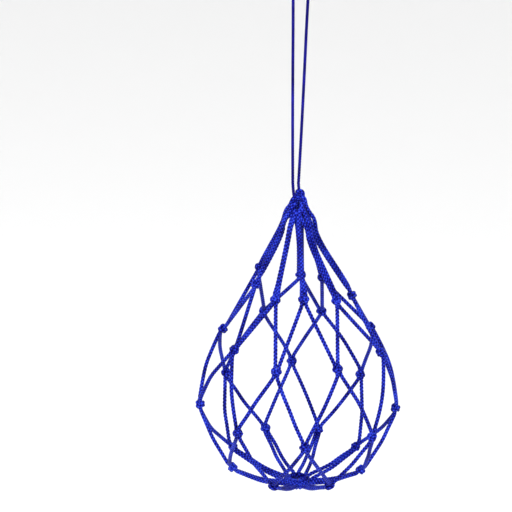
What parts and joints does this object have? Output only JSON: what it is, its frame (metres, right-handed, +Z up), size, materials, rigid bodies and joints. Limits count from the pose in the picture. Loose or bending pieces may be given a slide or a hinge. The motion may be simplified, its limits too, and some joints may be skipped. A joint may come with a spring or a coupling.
{
  "type": "mesh ball bag",
  "caption": "Knotted cord net bag that carries one ball, closed and hung by a drawstring loop.",
  "frame": {"origin": "where a hook or peg touches the underside of the carry loop, at its top", "axes": "+Z up along the hanging drawstring, +X to the right seen from the front, -Y towards the front"},
  "size_m": [0.2366, 0.2377, 0.6137],
  "materials": {
    "net_cord": "satin",
    "drawstring": "satin"
  },
  "bodies": {
    "hook_end": {"carry_bight": "drawstring"},
    "shanks": {"carry_shank_left": "drawstring", "carry_shank_right": "drawstring"},
    "strands": {"carry_strand_left": "drawstring", "carry_strand_right": "drawstring"},
    "net": {"mouth_run": "drawstring", "top_loop_1": "net_cord", "top_loop_2": "net_cord", "top_loop_3": "net_cord", "top_loop_4": "net_cord", "top_loop_5": "net_cord", "top_loop_6": "net_cord", "top_loop_7": "net_cord", "top_loop_8": "net_cord", "crown_knots": "net_cord", "shoulder_knots": "net_cord", "waist_knots": "net_cord", "base_knots": "net_cord", "left_leg_1": "net_cord", "left_leg_2": "net_cord", "left_leg_3": "net_cord", "left_leg_4": "net_cord", "left_leg_5": "net_cord", "left_leg_6": "net_cord", "left_leg_7": "net_cord", "left_leg_8": "net_cord", "right_leg_1": "net_cord", "right_leg_2": "net_cord", "right_leg_3": "net_cord", "right_leg_4": "net_cord", "right_leg_5": "net_cord", "right_leg_6": "net_cord", "right_leg_7": "net_cord", "right_leg_8": "net_cord", "base_ring": "net_cord", "base_hitches": "net_cord"}
  },
  "joints": [
    {"name": "swing_fore", "type": "hinge", "parent": "hook_end", "child": "shanks", "pos_m": [0, 0, -0.007], "axis": [1, 0, 0], "range_deg": [-20, 20]},
    {"name": "swing_side", "type": "hinge", "parent": "shanks", "child": "strands", "pos_m": [0, 0, -0.031], "axis": [0, 1, 0], "range_deg": [-20, 20]},
    {"name": "net_twist", "type": "hinge", "parent": "strands", "child": "net", "pos_m": [0, 0, -0.24], "axis": [0, 0, 1], "range_deg": [-150, 150]}
  ]
}
